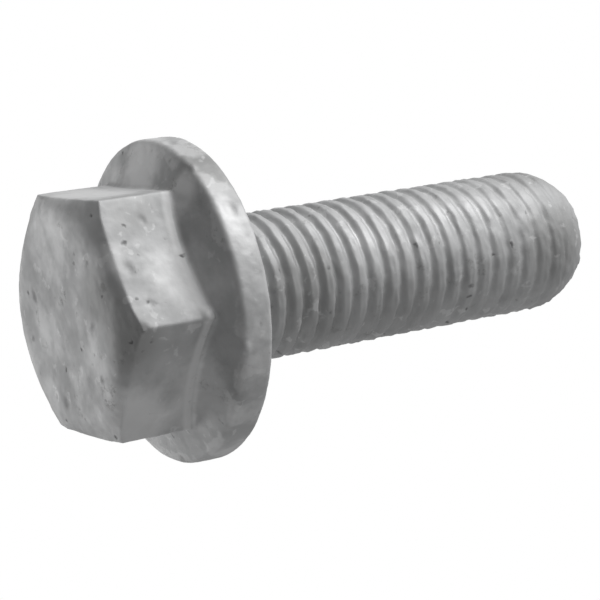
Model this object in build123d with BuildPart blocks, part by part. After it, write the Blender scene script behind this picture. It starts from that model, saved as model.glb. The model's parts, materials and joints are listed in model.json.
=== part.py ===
"""Flange bolt, M16 x 2: a hexagon head forged in one with a coned flange and a round shank.

Units are millimetres. +Z runs along the shank from head to tip, and the origin is on the axis,
in the plane of the flange's bearing face. The head is therefore below z = 0 and the shank above it.
"""
import os
from math import cos, radians, sin, tan

from build123d import *

# Driving dimensions
ACROSS_FLATS = 24.0         # hexagon, M16 size
HEAD_HEIGHT = 14.2          # bearing face to the flat end of the head
FLANGE_DIAMETER = 33.4
FLANGE_RIM = 3.2            # straight height of the flange's edge
FLANGE_SLOPE = 24.0         # degrees, from the rim up to the hexagon
THREAD_DIAMETER = 15.7      # over the crests, which the zinc has rounded
THREAD_PITCH = 2.0
SHANK_LENGTH = 47.0         # bearing face to tip
TIP_DIAMETER = 11.9         # flat end of the rolled point
TIP_SHOULDER = 14.2         # diameter between the point's slight taper and its chamfer
TIP_CHAMFER = 1.5           # length of that chamfer

# Details that follow from them
PITCH_DIAMETER = THREAD_DIAMETER - 0.6495 * THREAD_PITCH
TIP_LENGTH = 2.35 * THREAD_PITCH        # taper and chamfer together
NECK_LENGTH = 1.1 * THREAD_PITCH        # unthreaded stretch below the flange
NECK_SHOULDER = (THREAD_DIAMETER - PITCH_DIAMETER) / 2
HEAD_CHAMFER = 29.0                     # degrees, turned on the hexagon's end
CHAMFER_CIRCLE = 0.914 * ACROSS_FLATS   # diameter of the flat that the chamfer leaves
ACROSS_CORNERS = ACROSS_FLATS / cos(radians(30))

# Edges left by the forging dies and the coating
HEX_CORNER = 0.45           # radius between two flats
FLAT_TO_FLANGE = 1.0        # radius where the hexagon runs into the cone
RIM_EDGE = 0.6              # radius where the rim runs into the cone
BEARING_CHAMFER = 0.4       # on the rim, beside the bearing face
UNDER_HEAD = 0.7            # radius between the bearing face and the neck


def revolved_flange() -> Part:
    """Turn the flange: flat bearing face, straight rim and a cone that runs up inside the hexagon."""
    rim_radius = FLANGE_DIAMETER / 2
    cone_radius = ACROSS_FLATS / 4
    slope = radians(FLANGE_SLOPE)
    cone_top = FLANGE_RIM + (rim_radius - cone_radius) * tan(slope)
    edge_reach = RIM_EDGE * tan((radians(90) - slope) / 2)
    edge_start = (rim_radius, -FLANGE_RIM + edge_reach)
    edge_end = (rim_radius - edge_reach * cos(slope), -FLANGE_RIM - edge_reach * sin(slope))
    with BuildPart() as flange:
        with BuildSketch(Plane.XZ):
            with BuildLine():
                Polyline(
                    (0, 0),
                    (rim_radius - BEARING_CHAMFER, 0),
                    (rim_radius, -BEARING_CHAMFER),
                    edge_start,
                )
                TangentArc(edge_start, edge_end, tangent=(0, -1))
                Polyline(
                    edge_end,
                    (cone_radius, -cone_top),
                    (0, -cone_top),
                    (0, 0),
                )
            make_face()
        revolve(axis=Axis.Z)
    return flange.part


def chamfered_hexagon() -> Part:
    """Raise the hexagon from inside the flange and turn its end down to the chamfer circle."""
    circle_radius = CHAMFER_CIRCLE / 2
    chamfer_reach = ACROSS_CORNERS / 2 + 1
    chamfer_depth = (chamfer_reach - circle_radius) * tan(radians(HEAD_CHAMFER))
    with BuildPart() as hexagon:
        with BuildSketch(Plane.XY.offset(-HEAD_HEIGHT)):
            RegularPolygon(ACROSS_FLATS / 2, 6, major_radius=False)
        extrude(amount=HEAD_HEIGHT - FLANGE_RIM / 2)
        fillet(hexagon.edges().filter_by(Axis.Z), HEX_CORNER)
        with BuildSketch(Plane.XZ):
            with BuildLine():
                Polyline(
                    (0, -HEAD_HEIGHT),
                    (circle_radius, -HEAD_HEIGHT),
                    (chamfer_reach, -HEAD_HEIGHT + chamfer_depth),
                    (chamfer_reach, 0),
                    (0, 0),
                    close=True,
                )
            make_face()
        revolve(axis=Axis.Z, mode=Mode.INTERSECT)
    return hexagon.part


def shank() -> Part:
    """Turn the shank at the size of the thread's crests, with its neck and its tapered point."""
    thread_radius = THREAD_DIAMETER / 2
    neck_radius = PITCH_DIAMETER / 2
    with BuildPart() as rod:
        with BuildSketch(Plane.XZ):
            with BuildLine():
                Polyline(
                    (0, -FLANGE_RIM / 2),
                    (neck_radius, -FLANGE_RIM / 2),
                    (neck_radius, NECK_LENGTH),
                    (thread_radius, NECK_LENGTH + NECK_SHOULDER),
                    (thread_radius, SHANK_LENGTH - TIP_LENGTH),
                    (TIP_SHOULDER / 2, SHANK_LENGTH - TIP_CHAMFER),
                    (TIP_DIAMETER / 2, SHANK_LENGTH),
                    (0, SHANK_LENGTH),
                    close=True,
                )
            make_face()
        revolve(axis=Axis.Z)
    return rod.part


def flange_bolt() -> Part:
    """Join head, flange and shank into the one forged piece and round the edges between them."""
    with BuildPart() as bolt:
        add(revolved_flange())
        add(chamfered_hexagon())
        hexagon_foot = bolt.edges().filter_by(
            lambda edge: -HEAD_HEIGHT / 2 < edge.center().Z < -FLANGE_RIM
            and edge.geom_type != GeomType.LINE
        )
        fillet(hexagon_foot, FLAT_TO_FLANGE)
        add(shank())
        under_head = bolt.edges().filter_by(GeomType.CIRCLE).filter_by(
            lambda edge: abs(edge.radius - PITCH_DIAMETER / 2) < 0.01 and abs(edge.center().Z) < 0.01
        )
        fillet(under_head, UNDER_HEAD)
    return bolt.part


os.makedirs("parts", exist_ok=True)

bolt = flange_bolt()
bolt.label = "flange_bolt"
export_step(bolt, "parts/flange_bolt.step")
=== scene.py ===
"""Flange bolt in dull zinc-coated steel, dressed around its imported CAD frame.

The bolt stands on the end of its head, with its shank upwards. It is modelled in millimetres,
as one forged head and one rolled thread, and each finished piece is scaled to metres.
"""

import json
import logging
import math
from collections.abc import Callable, Iterator
from contextlib import contextmanager
from dataclasses import dataclass
from enum import Enum

import bmesh
import bpy
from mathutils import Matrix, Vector


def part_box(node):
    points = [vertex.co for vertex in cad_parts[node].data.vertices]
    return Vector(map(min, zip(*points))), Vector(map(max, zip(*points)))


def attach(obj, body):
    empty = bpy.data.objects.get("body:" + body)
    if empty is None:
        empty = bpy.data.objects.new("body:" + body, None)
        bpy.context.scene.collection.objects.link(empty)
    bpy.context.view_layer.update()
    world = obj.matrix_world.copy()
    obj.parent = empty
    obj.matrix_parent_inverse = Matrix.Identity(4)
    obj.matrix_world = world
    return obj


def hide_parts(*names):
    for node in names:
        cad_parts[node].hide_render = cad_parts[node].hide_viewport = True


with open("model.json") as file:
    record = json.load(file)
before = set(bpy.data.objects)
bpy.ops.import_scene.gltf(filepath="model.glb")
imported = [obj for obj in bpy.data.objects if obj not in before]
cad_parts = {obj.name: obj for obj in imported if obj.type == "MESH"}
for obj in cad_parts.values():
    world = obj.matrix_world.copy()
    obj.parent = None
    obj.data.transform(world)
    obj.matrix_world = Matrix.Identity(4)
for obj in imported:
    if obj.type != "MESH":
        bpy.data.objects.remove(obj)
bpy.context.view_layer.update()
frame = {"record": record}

log = logging.getLogger("flange_bolt")

MM = 0.001
BOLT_NODE = "flange_bolt"
ROOT_BODY = "root"
TURNED_SIDES = 256
RIM_HEIGHT = 3.2
RIM_RADIUS = 16.7
FLANGE_SLOPE = 24.0
SHARP_EDGE = 50

Colour = tuple[float, float, float]
Test = Callable[[Vector], bool]


# ---------------------------------------------------------------------------------------------
# Sizes that the frame gives
# ---------------------------------------------------------------------------------------------


@dataclass(frozen=True)
class BoltSizes:
    """Main sizes of the bolt in millimetres, as the frame has them.

    Attributes:
        head_height: Bearing face to the end of the head.
        flange_radius: Radius over the flange's rim.
        shank_length: Bearing face to the tip.
        crest_radius: Radius over the thread's crests.
        across_flats: Width of the hexagon, which fits a standard spanner.
        pitch: Distance from crest to crest of the thread.
    """

    head_height: float
    flange_radius: float
    shank_length: float
    crest_radius: float
    across_flats: float = 24.0
    pitch: float = 2.0

    @classmethod
    def from_frame(cls) -> "BoltSizes":
        """Read the sizes from the bolt's node and its shank mount.

        Returns:
            The bolt's main sizes.
        """
        low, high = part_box(BOLT_NODE)
        mounts = {mount["name"]: mount for mount in frame["record"]["mounts"]}
        return cls(
            head_height=-low[2] / MM,
            flange_radius=high[0] / MM,
            shank_length=high[2] / MM,
            crest_radius=mounts["shank"]["dims"]["r_mm"],
        )

    @property
    def corner_radius(self) -> float:
        """Radius over the hexagon's corners."""
        return self.across_flats / 2 / math.cos(math.radians(30))


# ---------------------------------------------------------------------------------------------
# Modelling by hand: selections, edit mode and modifiers
# ---------------------------------------------------------------------------------------------


def deselect_all() -> None:
    """Leave no object selected."""
    bpy.ops.object.select_all(action="DESELECT")


def make_active(piece: bpy.types.Object) -> None:
    """Select one piece alone and make it the active object."""
    deselect_all()
    piece.select_set(True)
    bpy.context.view_layer.objects.active = piece


@contextmanager
def editing(piece: bpy.types.Object) -> Iterator[None]:
    """Work on a piece in edit mode with nothing selected at the start.

    Args:
        piece: The mesh object to edit.
    """
    make_active(piece)
    bpy.ops.object.mode_set(mode="EDIT")
    bpy.ops.mesh.select_all(action="DESELECT")
    yield
    bpy.ops.object.mode_set(mode="OBJECT")


def select_vertices(piece: bpy.types.Object, test: Test) -> None:
    """Select the vertices of a piece in edit mode by their place.

    Args:
        piece: The piece being edited.
        test: Says of a vertex's place whether it is wanted.
    """
    bpy.ops.mesh.select_mode(type="VERT")
    shape = bmesh.from_edit_mesh(piece.data)
    for vertex in shape.verts:
        vertex.select = test(vertex.co)
    shape.select_flush(True)
    bmesh.update_edit_mesh(piece.data)


def select_cap(piece: bpy.types.Object, upwards: bool) -> None:
    """Select the flat face at the top or the bottom of a piece in edit mode.

    Args:
        piece: The piece being edited.
        upwards: True for the highest face that looks up, False for the lowest that looks down.
    """
    bpy.ops.mesh.select_mode(type="FACE")
    shape = bmesh.from_edit_mesh(piece.data)
    sign = 1 if upwards else -1
    flat = [face for face in shape.faces if face.normal.z * sign > 0.99]
    cap = max(flat, key=lambda face: face.calc_center_median().z * sign)
    for face in shape.faces:
        face.select = face is cap
    bmesh.update_edit_mesh(piece.data)


def extrude_cap(rise: float, scale: float = 1.0) -> None:
    """Extrude the selected face along Z and widen or narrow it about the axis.

    Args:
        rise: Distance along Z, in millimetres.
        scale: Factor on its size in X and Y.
    """
    bpy.ops.mesh.extrude_region_move(TRANSFORM_OT_translate={"value": (0, 0, rise)})
    bpy.ops.transform.resize(value=(scale, scale, 1), center_override=(0, 0, 0))


def finish_modifier(piece: bpy.types.Object, kind: str, **settings: object) -> None:
    """Add a modifier to a piece and apply it.

    Args:
        piece: The piece to change.
        kind: Blender's name for the modifier's type.
        **settings: Values for the modifier's properties.
    """
    make_active(piece)
    modifier = piece.modifiers.new(kind.title(), kind)
    for name, value in settings.items():
        setattr(modifier, name, value)
    bpy.ops.object.modifier_apply(modifier=modifier.name)


def combine(piece: bpy.types.Object, tool: bpy.types.Object, operation: str) -> None:
    """Join a tool shape to a piece, or keep what they share, and delete the tool.

    Args:
        piece: The piece that is kept.
        tool: The shape that acts on it.
        operation: UNION or INTERSECT.
    """
    finish_modifier(piece, "BOOLEAN", operation=operation, object=tool, solver="EXACT")
    bpy.data.objects.remove(tool)


def remesh(piece: bpy.types.Object, size: float) -> None:
    """Turn a piece into an even net of small squares.

    Args:
        piece: The piece to change.
        size: Side of the squares in millimetres.
    """
    make_active(piece)
    piece.data.remesh_voxel_size = size
    piece.data.use_remesh_fix_poles = True
    bpy.ops.object.voxel_remesh()


def smooth_where(piece: bpy.types.Object, test: Test, times: int, factor: float = 0.5) -> None:
    """Melt the edges of part of a piece, as a thick coating does.

    Args:
        piece: The piece to change.
        test: Says of a vertex's place whether it is smoothed.
        times: Number of rounds of smoothing.
        factor: Share of the way that a vertex moves in a round.
    """
    with editing(piece):
        select_vertices(piece, test)
        bpy.ops.mesh.vertices_smooth(factor=factor, repeat=times)


def uneven(piece: bpy.types.Object, grain: float, height: float, depth: int = 2) -> None:
    """Push the skin of a piece in and out a little, as zinc runs and scale do.

    Args:
        piece: The piece to change.
        grain: Width of a lump in millimetres.
        height: Full height between hollows and lumps in millimetres.
        depth: Levels of finer lumps on the coarse ones.
    """
    clouds = bpy.data.textures.new(f"{piece.name}_lumps", "CLOUDS")
    clouds.noise_scale = grain
    clouds.noise_depth = depth
    finish_modifier(
        piece, "DISPLACE", texture=clouds, texture_coords="LOCAL", strength=height, mid_level=0.5
    )
    bpy.data.textures.remove(clouds)


def hand_over(piece: bpy.types.Object, finish: bpy.types.Material, sharp: float) -> None:
    """Scale a finished piece to metres, shade it, dress it and enter it in the frame.

    Args:
        piece: The finished piece, still in millimetres.
        finish: Its material.
        sharp: Angle in degrees above which an edge stays sharp.
    """
    make_active(piece)
    piece.scale = (MM, MM, MM)
    bpy.ops.object.transform_apply(location=True, rotation=True, scale=True)
    bpy.ops.object.shade_smooth_by_angle(angle=math.radians(sharp))
    piece.data.materials.clear()
    piece.data.materials.append(finish)
    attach(piece, ROOT_BODY)
    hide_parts(BOLT_NODE)
    log.info("%s: %d faces", piece.name, len(piece.data.polygons))


def ease(value: float, start: float, end: float) -> float:
    """Rise smoothly from 0 at the start to 1 at the end.

    Args:
        value: Where on the way the point is.
        start: Value at which the rise starts.
        end: Value at which it is complete.

    Returns:
        A number from 0 to 1.
    """
    share = min(max((value - start) / (end - start), 0.0), 1.0)
    return share * share * (3 - 2 * share)


def soft_minimum(first: float, second: float, blend: float) -> float:
    """Take the smaller of two values, with a round transition between them.

    Args:
        first: One value.
        second: The other value.
        blend: Difference within which the two are blended.

    Returns:
        The blended smaller value.
    """
    share = max(blend - abs(first - second), 0.0) / blend
    return min(first, second) - share * share * blend / 4


# ---------------------------------------------------------------------------------------------
# The forged head
# ---------------------------------------------------------------------------------------------


class DentKind(Enum):
    """How a knock on the coating moved the metal."""

    HOLLOW = -1
    LUMP = 1


@dataclass(frozen=True)
class Dent:
    """A small hollow or lump on the head.

    Attributes:
        kind: Whether metal is missing or stands proud.
        place: Its middle, in millimetres.
        reach: Its half sizes along X, Y and Z.
        depth: How far the middle moves along the surface's normal.
    """

    kind: DentKind
    place: tuple[float, float, float]
    reach: tuple[float, float, float]
    depth: float

    def shift(self, point: Vector) -> float:
        """Say how far a point of the skin moves outwards.

        Args:
            point: The point's place in millimetres.

        Returns:
            The movement in millimetres, negative for a hollow.
        """
        away = Vector([(point[i] - self.place[i]) / self.reach[i] for i in range(3)]).length
        if away >= 1:
            return 0.0
        return self.kind.value * self.depth * (1 - away * away) ** 2


@dataclass
class FlangeHead:
    """Hexagon, chamfer, coned flange and neck, forged in one piece.

    Attributes:
        sizes: The bolt's main sizes.
        rim_height: Straight height of the flange's edge.
        flange_slope: Slope of its cone in degrees.
        chamfer_angle: Angle of the turned end of the hexagon in degrees.
        chamfer_circle: Radius of the flat that the chamfer leaves.
        rim_round: Rounding of the rim's edges.
        neck_radius: Radius of the plain stretch under the flange.
        neck_length: Its length, up to the thread's run-out.
        under_head: Radius of the rounding between bearing face and neck.
        foot_round: Half width of the strip that is melted where the flats meet the cone.
        end_round: Half width of the strip that is melted round the end's flat.
        dome: How far the end's rim falls back from its middle.
        dome_start: Radius from which it falls back.
        dome_end: Radius at which it has fallen back by the whole.
        dome_depth: Height over which the movement fades out.
        inner_start: Where the hexagon's block starts, inside the flange.
        cutter_margin: How far the chamfer's cutter stands past the corners.
        melted_up_to: Height below which the whole head is smoothed.
        skin: Side of the squares of the finished skin.
        dents: Knocks and lumps on the finished head.
    """

    sizes: BoltSizes
    rim_height: float = RIM_HEIGHT
    flange_slope: float = FLANGE_SLOPE
    chamfer_angle: float = 29.0
    chamfer_circle: float = 10.97
    rim_round: float = 0.4
    neck_radius: float = 7.2
    neck_length: float = 2.3
    under_head: float = 0.7
    foot_round: float = 0.6
    end_round: float = 2.8
    dome: float = 0.12
    dome_start: float = 6.5
    dome_end: float = 11.0
    dome_depth: float = 2.0
    inner_start: float = 1.0
    cutter_margin: float = 4.0
    melted_up_to: float = 0.6
    skin: float = 0.21
    dents: tuple[Dent, ...] = (
        Dent(DentKind.HOLLOW, (3.4, -5.6, -14.2), (0.5, 1.1, 0.8), 0.16),
        Dent(DentKind.HOLLOW, (-4.8, 4.6, -14.2), (1.3, 0.6, 0.8), 0.14),
        Dent(DentKind.HOLLOW, (6.9, 5.4, -14.2), (0.9, 0.9, 0.8), 0.15),
        Dent(DentKind.LUMP, (8.2, -3.4, -14.2), (0.5, 0.5, 0.8), 0.16),
        Dent(DentKind.LUMP, (-1.6, 8.3, -14.2), (0.5, 0.4, 0.8), 0.16),
        Dent(DentKind.HOLLOW, (4.4, -12.0, -10.9), (0.6, 0.8, 0.6), 0.16),
        Dent(DentKind.HOLLOW, (-4.2, -12.0, -8.7), (0.7, 0.8, 0.5), 0.15),
        Dent(DentKind.HOLLOW, (0.6, -12.0, -11.9), (1.1, 0.9, 0.8), 0.18),
        Dent(DentKind.HOLLOW, (-10.9, -5.2, -7.6), (0.8, 0.8, 1.0), 0.15),
        Dent(DentKind.HOLLOW, (9.6, -7.4, -11.2), (0.7, 0.7, 0.6), 0.14),
        Dent(DentKind.HOLLOW, (6.9, -12.0, -12.6), (0.9, 0.9, 0.9), 0.30),
        Dent(DentKind.LUMP, (6.6, -12.3, -5.3), (1.2, 1.2, 0.9), 0.45),
        Dent(DentKind.HOLLOW, (-2.1, -16.6, -1.7), (1.3, 0.9, 0.9), 0.20),
        Dent(DentKind.LUMP, (-7.9, -14.6, -2.9), (0.9, 0.9, 0.6), 0.18),
        Dent(DentKind.HOLLOW, (-12.4, -11.2, -2.2), (1.1, 1.1, 0.8), 0.18),
        Dent(DentKind.LUMP, (10.8, -12.6, -3.0), (0.9, 0.9, 0.6), 0.16),
    )

    def cone_height(self, radius: float) -> float:
        """Height of the flange's cone above the bearing face at a radius, towards the head."""
        run = self.sizes.flange_radius - radius
        return self.rim_height + run * math.tan(math.radians(self.flange_slope))

    def hexagon(self) -> bpy.types.Object:
        """Stand the hexagon and turn its end down to the chamfer circle.

        Returns:
            The chamfered hexagon.
        """
        height = self.sizes.head_height
        deselect_all()
        bpy.ops.mesh.primitive_cylinder_add(
            vertices=6,
            radius=self.sizes.corner_radius,
            depth=height - self.inner_start,
            location=(0, 0, -(height + self.inner_start) / 2),
            rotation=(0, 0, math.radians(30)),
        )
        block = bpy.context.active_object
        block.name = "bolt_head"
        bpy.ops.object.transform_apply(location=True, rotation=True, scale=True)
        reach = self.sizes.corner_radius + self.cutter_margin
        turn_depth = (reach - self.chamfer_circle) * math.tan(math.radians(self.chamfer_angle))
        deselect_all()
        bpy.ops.mesh.primitive_cone_add(
            vertices=TURNED_SIDES,
            radius1=self.chamfer_circle,
            radius2=reach,
            depth=turn_depth,
            location=(0, 0, -height + turn_depth / 2),
        )
        cutter = bpy.context.active_object
        bpy.ops.object.transform_apply(location=True, rotation=True, scale=True)
        with editing(cutter):
            select_cap(cutter, upwards=True)
            extrude_cap(height)
        combine(block, cutter, "INTERSECT")
        return block

    def flange(self) -> bpy.types.Object:
        """Turn the flange with its cone, rounded rim and neck.

        Returns:
            The flange, open to nothing and closed inside the hexagon.
        """
        radius = self.sizes.flange_radius
        core = self.sizes.across_flats / 4
        deselect_all()
        bpy.ops.mesh.primitive_cylinder_add(
            vertices=TURNED_SIDES,
            radius=radius,
            depth=self.rim_height,
            location=(0, 0, -self.rim_height / 2),
        )
        disc = bpy.context.active_object
        disc.name = "bolt_flange"
        bpy.ops.object.transform_apply(location=True, rotation=True, scale=True)
        with editing(disc):
            select_cap(disc, upwards=False)
            extrude_cap(self.rim_height - self.cone_height(core), core / radius)
            select_vertices(disc, lambda place: math.hypot(place.x, place.y) > radius - 0.01)
            bpy.ops.mesh.select_mode(type="EDGE")
            shape = bmesh.from_edit_mesh(disc.data)
            for edge in shape.edges:
                flat = abs(edge.verts[0].co.z - edge.verts[1].co.z) < 0.01
                edge.select = edge.select and flat
            bmesh.update_edit_mesh(disc.data)
            bpy.ops.mesh.bevel(offset=self.rim_round, segments=5, affect="EDGES")
            self.draw_neck(disc)
        return disc

    def draw_neck(self, disc: bpy.types.Object) -> None:
        """Raise the neck from the bearing face, with the rounding at its foot.

        Args:
            disc: The flange, in edit mode.
        """
        foot = self.neck_radius + self.under_head
        select_cap(disc, upwards=True)
        bpy.ops.mesh.inset(thickness=self.sizes.flange_radius - self.rim_round - foot)
        steps = 6
        radius, height = foot, 0.0
        for step in range(1, steps + 1):
            angle = math.pi / 2 * step / steps
            new_radius = foot - self.under_head * math.sin(angle)
            new_height = self.under_head * (1 - math.cos(angle))
            extrude_cap(new_height - height, new_radius / radius)
            radius, height = new_radius, new_height
        extrude_cap(self.neck_length - height)

    def at_foot(self, point: Vector) -> bool:
        """Say whether a point lies where the flats and corners meet the cone.

        Args:
            point: A place on the head in millimetres.

        Returns:
            True within the strip that is melted.
        """
        radius = math.hypot(point.x, point.y)
        turn = math.atan2(point.y, point.x)
        off_flat = (turn % math.radians(60)) - math.radians(30)
        to_flat = radius * math.cos(off_flat) - self.sizes.across_flats / 2
        to_cone = -point.z - self.cone_height(radius)
        return abs(to_flat) < self.foot_round and abs(to_cone) < self.foot_round

    def at_end(self, point: Vector) -> bool:
        """Say whether a point lies near the circle where the chamfer meets the end's flat."""
        off_circle = math.hypot(point.x, point.y) - self.chamfer_circle
        return abs(off_circle) < self.end_round and point.z < -self.sizes.head_height + 1

    def fall_back(self, point: Vector) -> float:
        """Say how far the end's rim falls back at a point.

        Args:
            point: A place on the head in millimetres.

        Returns:
            The movement along +Z in millimetres.
        """
        beyond = math.hypot(point.x, point.y) - self.dome_start
        share = 1 - (point.z + self.sizes.head_height) / self.dome_depth
        if beyond <= 0 or share <= 0:
            return 0.0
        return self.dome * share * (beyond / (self.dome_end - self.dome_start)) ** 2

    def press_dents(self, head: bpy.types.Object) -> None:
        """Move the skin at each knock along its normals, and let the end's rim fall back.

        Args:
            head: The finished head in millimetres.
        """
        for vertex in head.data.vertices:
            shift = sum(dent.shift(vertex.co) for dent in self.dents)
            if shift:
                vertex.co += vertex.normal * shift
            vertex.co.z += self.fall_back(vertex.co)

    def build(self, finish: bpy.types.Material) -> bpy.types.Object:
        """Join hexagon and flange, melt their edges and dress the head.

        Args:
            finish: The head's material.

        Returns:
            The finished head.
        """
        head = self.hexagon()
        combine(head, self.flange(), "UNION")
        remesh(head, self.skin)
        smooth_where(head, self.at_foot, times=2)
        smooth_where(head, self.at_end, times=90)
        smooth_where(head, lambda place: place.z < self.melted_up_to, times=2)
        uneven(head, grain=2.2, height=0.10, depth=3)
        uneven(head, grain=0.8, height=0.05, depth=2)
        self.press_dents(head)
        hand_over(head, finish, sharp=SHARP_EDGE)
        return head


# ---------------------------------------------------------------------------------------------
# The rolled thread
# ---------------------------------------------------------------------------------------------


@dataclass
class ThreadedShank:
    """Right-hand thread from its run-out under the flange to the rounded point.

    Attributes:
        sizes: The bolt's main sizes.
        depth: Depth of the grooves in millimetres.
        crest_flat: Width of a crest.
        melt: Rounding of crests and roots by the coating.
        tip_fade: Share of the depth that the coating fills at the tip.
        fade_start: Height at which the grooves start to get shallower.
        steps_per_turn: Steps round one turn.
        points_per_pitch: Points on the ridge's profile over one pitch.
        start: Where the thread's skin starts, inside the neck.
        run_out: Length over which the grooves deepen.
        neck_radius: Radius of the neck that the thread starts from.
        tuck: How far the skin lies inside the neck at its start.
        tip_length: Length of the rounded point.
        tip_radius: Radius of its flat end.
    """

    sizes: BoltSizes
    depth: float = 0.66
    crest_flat: float = 0.60
    melt: float = 0.50
    tip_fade: float = 0.66
    fade_start: float = 4.0
    steps_per_turn: int = 84
    points_per_pitch: int = 16
    start: float = 1.8
    run_out: float = 2.6
    neck_radius: float = 7.2
    tuck: float = 0.06
    tip_length: float = 4.7
    tip_radius: float = 5.95

    def ridge(self, along: float) -> float:
        """Height of the ridge above the root at a place along one pitch.

        Args:
            along: Distance from a crest's middle in millimetres.

        Returns:
            Height above the root in millimetres.
        """
        down = max(abs(along) - self.crest_flat / 2, 0.0) / math.tan(math.radians(30))
        top = soft_minimum(self.depth, self.depth - down + self.melt / 3, self.melt)
        return max(-soft_minimum(-top, -0.0, self.melt), 0.0)

    def profile(self) -> bpy.types.Object:
        """Draw one pitch of the ridge by extruding a point step by step.

        Returns:
            The profile, in the XZ plane and below the first turn.
        """
        root_radius = self.sizes.crest_radius - self.depth
        pitch = self.sizes.pitch
        step = pitch / self.points_per_pitch
        deselect_all()
        bpy.ops.mesh.primitive_circle_add(vertices=3, radius=1, location=(0, 0, 0))
        line = bpy.context.active_object
        line.name = "bolt_thread"
        with editing(line):
            shape = bmesh.from_edit_mesh(line.data)
            bmesh.ops.delete(shape, geom=shape.verts[1:], context="VERTS")
            shape.verts.ensure_lookup_table()
            low = self.start - pitch
            shape.verts[0].co = (root_radius + self.ridge(-pitch / 2), 0, low)
            shape.verts[0].select = True
            bmesh.update_edit_mesh(line.data)
            for index in range(self.points_per_pitch):
                here = index * step - pitch / 2
                rise = self.ridge(here + step) - self.ridge(here)
                bpy.ops.mesh.extrude_region_move(
                    TRANSFORM_OT_translate={"value": (rise, 0, step)}
                )
        return line

    def envelope(self, height: float) -> float:
        """Radius that the point leaves at a height.

        Args:
            height: Distance from the bearing face in millimetres.

        Returns:
            The largest radius there.
        """
        share = max(height - (self.sizes.shank_length - self.tip_length), 0.0) / self.tip_length
        return self.sizes.crest_radius - (self.sizes.crest_radius - self.tip_radius) * share**1.8

    def radius_at(self, radius: float, height: float) -> float:
        """Blend a point of the endless thread into the neck and the point.

        Args:
            radius: Its radius on the endless thread.
            height: Its distance from the bearing face.

        Returns:
            Its radius on the bolt.
        """
        filled = self.tip_fade * ease(height, self.fade_start, self.sizes.shank_length)
        radius += (self.sizes.crest_radius - radius) * filled
        run = ease(height, self.start + 0.3, self.start + 0.3 + self.run_out)
        inside_neck = self.neck_radius - self.tuck
        blended = inside_neck + (radius - inside_neck) * run
        return soft_minimum(blended, self.envelope(height), 0.15)

    def wind(self, line: bpy.types.Object) -> None:
        """Wind the profile into the whole thread and trim it to length.

        Args:
            line: The profile, which becomes the thread.
        """
        pitch = self.sizes.pitch
        turns = math.ceil((self.sizes.shank_length - self.start) / pitch) + 1
        finish_modifier(
            line,
            "SCREW",
            axis="Z",
            angle=math.tau,
            screw_offset=pitch,
            iterations=turns,
            steps=self.steps_per_turn,
            render_steps=self.steps_per_turn,
            use_merge_vertices=False,
        )
        with editing(line):
            bpy.ops.mesh.select_all(action="SELECT")
            bpy.ops.mesh.remove_doubles(threshold=0.002)
            for height, normal in ((self.start, -1), (self.sizes.shank_length, 1)):
                bpy.ops.mesh.select_all(action="SELECT")
                bpy.ops.mesh.bisect(
                    plane_co=(0, 0, height), plane_no=(0, 0, normal), clear_outer=True
                )

    def close_ends(self, thread: bpy.types.Object) -> None:
        """Close the thread inside the neck and at the tip.

        Args:
            thread: The trimmed thread.
        """
        for height, dish in ((self.start, 0.0), (self.sizes.shank_length, -0.35)):
            with editing(thread):
                select_vertices(thread, lambda place, at=height: abs(place.z - at) < 0.0005)
                bpy.ops.mesh.edge_face_add()
                if dish:
                    extrude_cap(0.0, 0.92)
                    extrude_cap(dish * 0.7, 0.75)
                    extrude_cap(dish * 0.3, 0.4)
        with editing(thread):
            bpy.ops.mesh.select_all(action="SELECT")
            bpy.ops.mesh.normals_make_consistent(inside=False)

    def build(self, finish: bpy.types.Material) -> bpy.types.Object:
        """Roll the thread, close it and dress it.

        Args:
            finish: The thread's material.

        Returns:
            The finished thread.
        """
        thread = self.profile()
        self.wind(thread)
        for vertex in thread.data.vertices:
            radius = math.hypot(vertex.co.x, vertex.co.y)
            change = self.radius_at(radius, vertex.co.z) / radius
            vertex.co.x *= change
            vertex.co.y *= change
        self.close_ends(thread)
        uneven(thread, grain=0.9, height=0.36, depth=3)
        hand_over(thread, finish, sharp=SHARP_EDGE)
        return thread


# ---------------------------------------------------------------------------------------------
# The zinc finish, with painted light and painted shade
# ---------------------------------------------------------------------------------------------


class Signal:
    """A shader socket that takes part in Python expressions."""

    def __init__(self, shader: "Shader", socket: bpy.types.NodeSocket) -> None:
        """Wrap an output socket of a shader."""
        self.shader = shader
        self.socket = socket

    def _math(self, operation: str, *values: "Signal | float") -> "Signal":
        """Add a Math node on the values."""
        inputs = dict(enumerate(values))
        return self.shader.node("ShaderNodeMath", {"operation": operation}, inputs)

    def __add__(self, other: "Signal | float") -> "Signal":
        """Add."""
        return self._math("ADD", self, other)

    __radd__ = __add__

    def __sub__(self, other: "Signal | float") -> "Signal":
        """Subtract."""
        return self._math("SUBTRACT", self, other)

    def __rsub__(self, other: float) -> "Signal":
        """Subtract from a number."""
        return self._math("SUBTRACT", other, self)

    def __mul__(self, other: "Signal | float") -> "Signal":
        """Multiply."""
        return self._math("MULTIPLY", self, other)

    __rmul__ = __mul__

    def step_up(self, low: float, high: float) -> "Signal":
        """Rise smoothly from 0 below low to 1 above high.

        Args:
            low: Value at which the rise starts.
            high: Value at which it ends.

        Returns:
            The mask.
        """
        return self.shader.node(
            "ShaderNodeMapRange",
            {"interpolation_type": "SMOOTHSTEP"},
            {"Value": self, "From Min": low, "From Max": high, "To Min": 0.0, "To Max": 1.0},
        )


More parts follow.
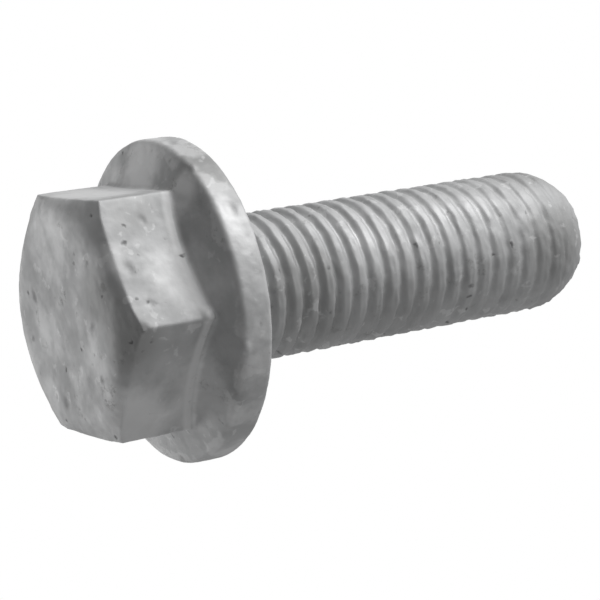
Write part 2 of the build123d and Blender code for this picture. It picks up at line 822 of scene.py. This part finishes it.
class Shader:
    """Node tree of one material or of the world."""

    def __init__(self, tree: bpy.types.NodeTree) -> None:
        """Start from an empty tree."""
        self.tree = tree
        tree.nodes.clear()

    def node(
        self,
        kind: str,
        settings: dict[str, object],
        inputs: dict[str | int, object],
        output: str | int = 0,
    ) -> Signal:
        """Add a node, set it up and link or set its inputs.

        Args:
            kind: Blender's type of the node.
            settings: Properties of the node, set first.
            inputs: Values or signals for its sockets, by name or number.
            output: The socket that the signal reads.

        Returns:
            The wanted output of the new node.
        """
        node = self.tree.nodes.new(kind)
        for name, value in settings.items():
            setattr(node, name, value)
        for name, value in inputs.items():
            if isinstance(value, Signal):
                self.tree.links.new(value.socket, node.inputs[name])
            elif isinstance(value, tuple) and len(value) == 3 and node.inputs[name].type == "RGBA":
                node.inputs[name].default_value = (*value, 1.0)
            else:
                node.inputs[name].default_value = value
        return Signal(self, node.outputs[output])

    def show(self, kind: str, surface: Signal) -> None:
        """Link a surface to the tree's output node.

        Args:
            kind: Blender's type of the output node.
            surface: The finished shader.
        """
        self.tree.links.new(surface.socket, self.tree.nodes.new(kind).inputs["Surface"])

    def noise(self, place: Signal, pattern: "Pattern") -> Signal:
        """Make a cloud pattern.

        Args:
            place: Coordinates.
            pattern: Its lumps.

        Returns:
            A value around 0.5.
        """
        inputs = {
            "Vector": place,
            "Scale": pattern.scale,
            "Detail": pattern.detail,
            "Roughness": pattern.rough,
        }
        return self.node("ShaderNodeTexNoise", {}, inputs)

    def cells(self, place: Signal, scale: float, feature: str, output: str) -> Signal:
        """Make a pattern of cells.

        Args:
            place: Coordinates.
            scale: Cells per metre.
            feature: Blender's name for what is measured.
            output: The socket to read.

        Returns:
            The pattern.
        """
        return self.node(
            "ShaderNodeTexVoronoi", {"feature": feature}, {"Vector": place, "Scale": scale}, output
        )

    def blend(self, factor: Signal | float, first: object, second: object) -> Signal:
        """Mix two colours.

        Args:
            factor: Share of the second colour.
            first: First colour.
            second: Second colour.

        Returns:
            The mixed colour.
        """
        return self.node(
            "ShaderNodeMix", {"data_type": "RGBA"}, {0: factor, 6: first, 7: second}, output=2
        )


@dataclass(frozen=True)
class Pattern:
    """Lumps of a random pattern on the zinc.

    Attributes:
        scale: Lumps per metre.
        detail: Levels of finer lumps.
        rough: Weight of the finer lumps.
    """

    scale: float
    detail: float
    rough: float = 0.5


CLOUDS = Pattern(260, 4, 0.55)
BROAD_CLOUDS = Pattern(120, 3)
GRAIN = Pattern(1900, 4, 0.6)
PITTED_PLACES = Pattern(300, 2)
STAINS = Pattern(330, 6, 0.75)
FLECKS = Pattern(560, 3)
RIM_GLINT_BEADS = Pattern(330, 3)
FLAKES_PER_METRE = 1000
PITS_PER_METRE = 520
WARP_PER_METRE = 900
WARP_REACH = 0.0006


def place_shift(shader: Shader, place: Signal, scale: float, reach: float) -> Signal:
    """Shift coordinates a little by a fine pattern, so that round spots turn ragged.

    Args:
        shader: The shader that takes the nodes.
        place: The coordinates.
        scale: Lumps of the pattern per metre.
        reach: Largest shift in metres.

    Returns:
        The shifted coordinates.
    """
    pattern = shader.node(
        "ShaderNodeTexNoise", {}, {"Vector": place, "Scale": scale, "Detail": 2.0}, output="Color"
    )
    centred = shader.node(
        "ShaderNodeVectorMath", {"operation": "SUBTRACT"}, {0: pattern, 1: (0.5, 0.5, 0.5)}
    )
    scaled = shader.node(
        "ShaderNodeVectorMath", {"operation": "SCALE"}, {0: centred, "Scale": 2 * reach}
    )
    return shader.node("ShaderNodeVectorMath", {"operation": "ADD"}, {0: place, 1: scaled})


class Tone(Enum):
    """Colours of the clouds: the pale one is painted highlight and also serves the bright zinc
    flakes; the grey one is painted shade.
    """

    FRESH_AND_HIGHLIGHT = (0.66, 0.662, 0.664)
    SHADE_GREY = (0.22, 0.22, 0.217)


@dataclass(frozen=True)
class Patch:
    """A ragged cloud at one place: a pale one is painted light, a grey one painted shade.

    Attributes:
        tone: Colour that it tends to.
        centre: Its middle in millimetres.
        reach: How far it reaches in millimetres.
        strength: Share of its colour in its middle.
    """

    tone: Tone
    centre: tuple[float, float, float]
    reach: float
    strength: float


# Painted light and painted shade on the head: pale and grey clouds at set places that brighten or
# darken parts of the facets, chamfer, end face and rim.
HEAD_LIGHT_AND_SHADE = (
    Patch(Tone.FRESH_AND_HIGHLIGHT, (-10.6, -5.6, -9.0), 8.0, 0.85),
    Patch(Tone.SHADE_GREY, (-7.9, -15.0, -1.3), 5.0, 0.60),
    Patch(Tone.FRESH_AND_HIGHLIGHT, (12.2, -2.0, -12.4), 6.0, 0.70),
    Patch(Tone.FRESH_AND_HIGHLIGHT, (11.8, -5.0, -4.6), 5.5, 0.60),
    Patch(Tone.FRESH_AND_HIGHLIGHT, (-5.6, -13.2, -4.2), 3.0, 0.80),
    Patch(Tone.FRESH_AND_HIGHLIGHT, (-12.2, -7.4, -4.3), 5.0, 0.85),
    Patch(Tone.SHADE_GREY, (1.8, -8.6, -14.2), 4.5, 0.50),
    Patch(Tone.SHADE_GREY, (7.3, -9.7, -13.7), 4.5, 0.60),
    Patch(Tone.FRESH_AND_HIGHLIGHT, (-0.7, -12.0, -13.2), 2.5, 0.45),
    Patch(Tone.FRESH_AND_HIGHLIGHT, (3.2, -12.0, -6.7), 5.0, 0.70),
    Patch(Tone.SHADE_GREY, (-5.6, -12.0, -9.4), 4.0, 0.35),
)
# Painted shade and a painted highlight on the thread: grey clouds darken parts of the shank, a
# pale one brightens its middle.
THREAD_LIGHT_AND_SHADE = (
    Patch(Tone.SHADE_GREY, (-7.2, -3.4, 44.0), 8.0, 0.45),
    Patch(Tone.SHADE_GREY, (3.4, -7.1, 42.6), 6.0, 0.50),
    Patch(Tone.SHADE_GREY, (2.6, -7.4, 9.4), 6.5, 0.50),
    Patch(Tone.SHADE_GREY, (7.2, -3.1, 11.6), 6.0, 0.35),
    Patch(Tone.FRESH_AND_HIGHLIGHT, (0.5, -8.0, 20.0), 5.5, 0.25),
    Patch(Tone.SHADE_GREY, (7.3, -2.7, 22.0), 7.0, 0.30),
)


@dataclass(frozen=True)
class ZincFinish:
    """Dull, slightly mottled zinc on steel, with fine pits and grey stains, plus given clouds of
    painted light and painted shade and, on the head, painted highlights.

    Attributes:
        name: Name of the material.
        pale: Colour of the clean coating.
        dull: Colour of its darker clouds.
        stain: Colour of thin dirt in hollows.
        pit: Colour of the pits.
        fresh_zinc_and_highlight: Colour of small bright flakes, and of the painted highlights in
            the crease and on the rim.
        offset: Shift of the whole pattern in metres.
        light_and_shade_patches: Its clouds of painted light and painted shade, in their places.
        crease_highlight: Strength of the painted highlight line in the crease under the flats.
        rim: Strength of the painted highlight in ragged bright spots on the flange's rim, partly
            bright zinc spots.
        metallic: Share of metal in the look.
        rough: Roughness of the clean coating.
        rough_spread: How much clouds change it.
        bump: Height of the fine grain in metres.
    """

    name: str
    pale: Colour = (0.46, 0.463, 0.466)
    dull: Colour = (0.365, 0.368, 0.37)
    stain: Colour = (0.20, 0.20, 0.195)
    pit: Colour = (0.055, 0.055, 0.055)
    fresh_zinc_and_highlight: Colour = Tone.FRESH_AND_HIGHLIGHT.value
    offset: tuple[float, float, float] = (-0.012, -0.047, -0.038)
    light_and_shade_patches: tuple[Patch, ...] = ()
    crease_highlight: float = 0.0
    rim: float = 0.0
    metallic: float = 0.35
    rough: float = 0.56
    rough_spread: float = 0.16
    bump: float = 0.00004

    def patch_share(self, shader: Shader, place: Signal, patch: Patch, clouds: Signal) -> Signal:
        """Say how strongly a patch shows at each place.

        Args:
            shader: The shader that takes the nodes.
            place: Object coordinates.
            patch: The patch.
            clouds: The pattern that makes its edge ragged.

        Returns:
            The share of its colour.
        """
        centre = tuple(value * MM for value in patch.centre)
        away = shader.node(
            "ShaderNodeVectorMath",
            {"operation": "DISTANCE"},
            {0: place, 1: centre},
            output="Value",
        )
        ragged = away + (clouds - 0.5) * (patch.reach * MM)
        return (1 - ragged.step_up(patch.reach * MM * 0.35, patch.reach * MM)) * patch.strength

    def paint_head_highlights(self, shader: Shader, place: Signal, warped: Signal, colour: Signal) -> Signal:
        """Paint a highlight line into the crease under the flats, and a ragged painted highlight
        over the rim, partly bright zinc spots.

        Args:
            shader: The shader that takes the nodes.
            place: Object coordinates.
            warped: The same, with ragged shifts.
            colour: The colour so far.

        Returns:
            The colour with both.
        """
        if not self.crease_highlight and not self.rim:
            return colour
        flat = shader.node(
            "ShaderNodeVectorMath", {"operation": "MULTIPLY"}, {0: place, 1: (1.0, 1.0, 0.0)}
        )
        radius = shader.node(
            "ShaderNodeVectorMath", {"operation": "LENGTH"}, {0: flat}, output="Value"
        )
        height = shader.node("ShaderNodeSeparateXYZ", {}, {"Vector": place}, output="Z")
        slope = math.tan(math.radians(FLANGE_SLOPE))
        above = (radius - RIM_RADIUS * MM) * slope - RIM_HEIGHT * MM - height
        # Painted highlight: a pale line just above the flange's cone, under the flats.
        crease = above.step_up(0.25 * MM, 0.5 * MM) * (1 - above.step_up(0.9 * MM, 1.5 * MM))
        colour = shader.blend(crease * self.crease_highlight, colour, self.fresh_zinc_and_highlight)
        # Painted highlight on the rim: ragged bright spots over the outer rim, partly bright zinc
        # spots.
        glint_beads = shader.noise(warped, RIM_GLINT_BEADS)
        edge = (radius + (glint_beads - 0.5) * 0.004).step_up(15.7 * MM, 16.1 * MM)
        return shader.blend(edge * glint_beads.step_up(0.38, 0.60) * self.rim, colour, self.fresh_zinc_and_highlight)

    def build(self) -> bpy.types.Material:
        """Build the material.

        Returns:
            The zinc material.
        """
        material = bpy.data.materials.new(self.name)
        material.use_nodes = True
        shader = Shader(material.node_tree)
        centre = shader.node("ShaderNodeTexCoord", {}, {}, output="Object")
        place = shader.node(
            "ShaderNodeVectorMath", {"operation": "ADD"}, {0: centre, 1: self.offset}
        )
        clouds = shader.noise(place, CLOUDS)
        broad = shader.noise(place, BROAD_CLOUDS)
        grain = shader.noise(place, GRAIN)
        flakes = shader.cells(place, FLAKES_PER_METRE, "F1", "Distance")
        warped = place_shift(shader, place, WARP_PER_METRE, WARP_REACH)
        pits = 1 - shader.cells(warped, PITS_PER_METRE, "F1", "Distance").step_up(0.04, 0.20)
        pits = pits * shader.noise(place, PITTED_PLACES).step_up(0.50, 0.60)
        mottle = clouds.step_up(0.34, 0.68) * 0.65 + broad.step_up(0.30, 0.70) * 0.35
        colour = shader.blend(mottle, self.pale, self.dull)
        # Painted light and painted shade: pale and grey clouds at set places.
        for patch in self.light_and_shade_patches:
            colour = shader.blend(
                self.patch_share(shader, centre, patch, clouds), colour, (*patch.tone.value,)
            )
        colour = self.paint_head_highlights(shader, centre, warped, colour)
        stained = shader.noise(place, STAINS).step_up(0.585, 0.70) * 0.5
        colour = shader.blend(stained, colour, self.stain)
        flecks = shader.noise(warped, FLECKS).step_up(0.61, 0.68)
        colour = shader.blend(flecks * 0.40, colour, self.fresh_zinc_and_highlight)
        colour = shader.blend(pits * 0.75, colour, self.pit)
        rough = self.rough + mottle * self.rough_spread + stained * 0.12
        height = grain * 0.6 + flakes * 0.35 + clouds * 0.8 - pits * 1.2 - stained * 0.8
        relief = shader.node(
            "ShaderNodeBump", {}, {"Strength": 0.75, "Distance": self.bump, "Height": height}
        )
        surface = shader.node(
            "ShaderNodeBsdfPrincipled",
            {},
            {
                "Base Color": colour,
                "Metallic": self.metallic,
                "Roughness": rough,
                "Normal": relief,
                "Specular IOR Level": 0.5,
            },
        )
        shader.show("ShaderNodeOutputMaterial", surface)
        return material


# ---------------------------------------------------------------------------------------------
# Studio
# ---------------------------------------------------------------------------------------------


class LampRole(Enum):
    """What a lamp does for the bolt, with its name in the scene."""

    KEY = "key_softbox"
    HEAD = "head_softbox"
    FOOT = "foot_fill"


@dataclass(frozen=True)
class Softbox:
    """A square lamp that points at the middle of the bolt.

    Attributes:
        role: What it is for.
        azimuth: Direction it stands in, in degrees from +X towards +Y.
        elevation: Its height above the bearing face in degrees.
        distance: Distance from the bolt's middle in metres.
        side: Side of its square in metres.
        power: Power in watts.
    """

    role: LampRole
    azimuth: float
    elevation: float
    distance: float
    side: float
    power: float

    def place(self, aim: Vector) -> bpy.types.Object:
        """Set up the lamp.

        Args:
            aim: The point that it faces.

        Returns:
            The lamp.
        """
        deselect_all()
        bpy.ops.object.light_add(type="AREA")
        lamp = bpy.context.active_object
        lamp.name = self.role.value
        lamp.data.energy = self.power
        lamp.data.size = self.side
        away = direction(self.azimuth, self.elevation)
        lamp.location = aim + away * self.distance
        lamp.rotation_euler = away.to_track_quat("Z", "Y").to_euler()
        return lamp


def direction(azimuth: float, elevation: float) -> Vector:
    """Turn an azimuth and an elevation in degrees into a unit vector.

    Args:
        azimuth: Degrees from +X towards +Y.
        elevation: Degrees above the XY plane.

    Returns:
        The direction.
    """
    turn, lift = math.radians(azimuth), math.radians(elevation)
    return Vector(
        (math.cos(lift) * math.cos(turn), math.cos(lift) * math.sin(turn), math.sin(lift))
    )


@dataclass(frozen=True)
class Studio:
    """Camera, lamps, white surroundings and a pale floor that only shows from above.

    Attributes:
        floor_side: Side of the floor in metres.
        eye: Place of the camera in millimetres.
        turn: Its Euler angles in degrees.
        lens: Focal length for a 36 mm sensor.
    """

    floor_side: float = 4.0
    eye: tuple[float, float, float] = (68.19, -181.41, -102.85)
    turn: tuple[float, float, float] = (163.613, -57.640, -50.866)
    lens: float = 127.86
    lamps: tuple[Softbox, ...] = (
        Softbox(LampRole.KEY, azimuth=-127, elevation=29, distance=0.45, side=0.30, power=2.2),
        Softbox(LampRole.HEAD, azimuth=110, elevation=-31, distance=0.45, side=0.36, power=0.93),
        Softbox(LampRole.FOOT, azimuth=34, elevation=-26, distance=0.45, side=0.36, power=0.26),
    )

    def camera(self) -> bpy.types.Object:
        """Set up the camera and make it the scene's."""
        deselect_all()
        bpy.ops.object.camera_add(
            location=[value * MM for value in self.eye],
            rotation=[math.radians(value) for value in self.turn],
        )
        camera = bpy.context.active_object
        camera.name = "studio_camera"
        camera.data.sensor_width = 36
        camera.data.lens = self.lens
        camera.data.clip_start = 0.01
        bpy.context.scene.camera = camera
        return camera

    def floor(self, height: float) -> bpy.types.Object:
        """Lay the floor, which is clear from below and blocks no light from there.

        Args:
            height: Its height in metres.

        Returns:
            The floor.
        """
        deselect_all()
        bpy.ops.mesh.primitive_plane_add(size=self.floor_side, location=(0, 0, height))
        floor = bpy.context.active_object
        floor.name = "studio_floor"
        floor.visible_diffuse = False
        floor.visible_glossy = False
        floor.visible_transmission = False
        floor.visible_shadow = False
        material = bpy.data.materials.new("pale_floor")
        material.use_nodes = True
        shader = Shader(material.node_tree)
        below = shader.node("ShaderNodeNewGeometry", {}, {}, output="Backfacing")
        clear = shader.node("ShaderNodeBsdfTransparent", {}, {"Color": (1.0, 1.0, 1.0)})
        pale = shader.node(
            "ShaderNodeBsdfPrincipled", {}, {"Base Color": (0.86, 0.86, 0.85), "Roughness": 0.8}
        )
        surface = shader.node("ShaderNodeMixShader", {}, {0: below, 1: pale, 2: clear})
        shader.show("ShaderNodeOutputMaterial", surface)
        floor.data.materials.append(material)
        return floor

    def surroundings(self) -> None:
        """Make the world white to the camera and a soft gradient to the bolt."""
        world = bpy.data.worlds.new("studio_world")
        bpy.context.scene.world = world
        world.use_nodes = True
        shader = Shader(world.node_tree)
        seen = shader.node("ShaderNodeLightPath", {}, {}, output="Is Camera Ray")
        looking = shader.node("ShaderNodeTexCoord", {}, {}, output="Generated")
        height = shader.node("ShaderNodeSeparateXYZ", {}, {"Vector": looking}, output="Z")
        level = height.step_up(-0.9, 0.4) * 0.27 + 0.17
        strength = seen + (1 - seen) * level
        white = shader.node(
            "ShaderNodeBackground", {}, {"Color": (1.0, 1.0, 1.0), "Strength": strength}
        )
        shader.show("ShaderNodeOutputWorld", white)

    def build(self, sizes: BoltSizes) -> None:
        """Set up the whole studio.

        Args:
            sizes: The bolt's main sizes.
        """
        middle = (sizes.shank_length - sizes.head_height) / 2 * MM
        self.camera()
        for softbox in self.lamps:
            softbox.place(Vector((0, 0, middle)))
        self.floor(-sizes.head_height * MM)
        self.surroundings()
        bpy.context.scene.view_settings.view_transform = "Standard"


def main() -> None:
    """Build the bolt and its studio."""
    logging.basicConfig(level=logging.INFO, format="%(name)s: %(message)s")
    sizes = BoltSizes.from_frame()
    # The head's finish carries painted light and shade and painted highlights in the crease and on
    # the rim; the thread's carries painted light and shade.
    head_zinc = ZincFinish("zinc_head", light_and_shade_patches=HEAD_LIGHT_AND_SHADE, crease_highlight=0.75, rim=0.45).build()
    thread_zinc = ZincFinish(
        "zinc_thread", light_and_shade_patches=THREAD_LIGHT_AND_SHADE
    ).build()
    FlangeHead(sizes).build(head_zinc)
    ThreadedShank(sizes).build(thread_zinc)
    Studio().build(sizes)


if __name__ == "__main__":
    main()
